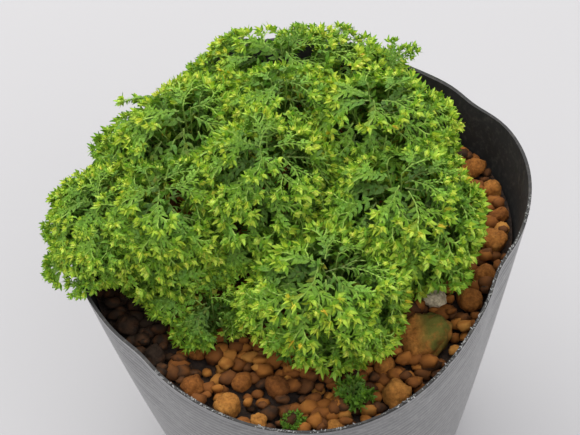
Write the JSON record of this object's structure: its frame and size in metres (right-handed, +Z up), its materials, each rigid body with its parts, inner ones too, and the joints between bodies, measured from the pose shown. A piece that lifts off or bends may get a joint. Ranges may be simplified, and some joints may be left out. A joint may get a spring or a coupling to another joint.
{
  "type": "potted moss",
  "caption": "Rounded cushion of spike moss tufts growing in a soft thin-walled nursery pot filled with fired clay granules.",
  "frame": {"origin": "centre of the pot's flat base, on the surface it stands on", "axes": "+Z up; the plant leans out over the rim at -X; -Y is the front, where the mix shows most"},
  "size_m": [0.0897, 0.0953, 0.0976],
  "materials": {
    "pot_film": "satin black film with fine ribs round it",
    "potting_mix": "damp, rough",
    "fired_clay": "dull, porous",
    "pumice": "dull, porous",
    "foliage": "leafy, soft sheen",
    "stem": "smooth green stem"
  },
  "bodies": {
    "root": {"clay_granule_01": "fired_clay", "clay_granule_02": "fired_clay", "clay_granule_03": "fired_clay", "clay_granule_04": "fired_clay", "clay_granule_05": "fired_clay", "clay_granule_06": "fired_clay", "clay_granule_07": "fired_clay", "clay_granule_08": "fired_clay", "clay_granule_09": "fired_clay", "clay_granule_10": "fired_clay", "clay_granule_11": "fired_clay", "clay_granule_12": "fired_clay", "clay_granule_13": "fired_clay", "clay_granule_14": "fired_clay", "clay_granule_15": "fired_clay", "clay_granule_16": "fired_clay", "clay_granule_17": "fired_clay", "clay_granule_18": "fired_clay", "clay_granule_19": "fired_clay", "clay_granule_20": "fired_clay", "clay_granule_21": "fired_clay", "clay_granule_22": "fired_clay", "clay_granule_large": "fired_clay", "nursery_pot": "pot_film", "potting_mix": "potting_mix", "pumice_granule": "pumice", "seedling_front": "foliage", "seedling_rim": "foliage", "stem_back_a": "stem", "stem_back_b": "stem", "stem_back_left_a": "stem", "stem_back_left_b": "stem", "stem_back_right_a": "stem", "stem_back_right_b": "stem", "stem_centre_a": "stem", "stem_centre_b": "stem", "stem_crown_a": "stem", "stem_crown_b": "stem", "stem_far_left_a": "stem", "stem_far_left_b": "stem", "stem_front_a": "stem", "stem_front_b": "stem", "stem_front_left_a": "stem", "stem_front_left_b": "stem", "stem_left_a": "stem", "stem_left_b": "stem", "stem_right_a": "stem", "stem_right_b": "stem", "tuft_back": "foliage", "tuft_back_left": "foliage", "tuft_back_right": "foliage", "tuft_centre": "foliage", "tuft_crown": "foliage", "tuft_far_left": "foliage", "tuft_front": "foliage", "tuft_front_left": "foliage", "tuft_left": "foliage", "tuft_right": "foliage"}
  },
  "joints": []
}
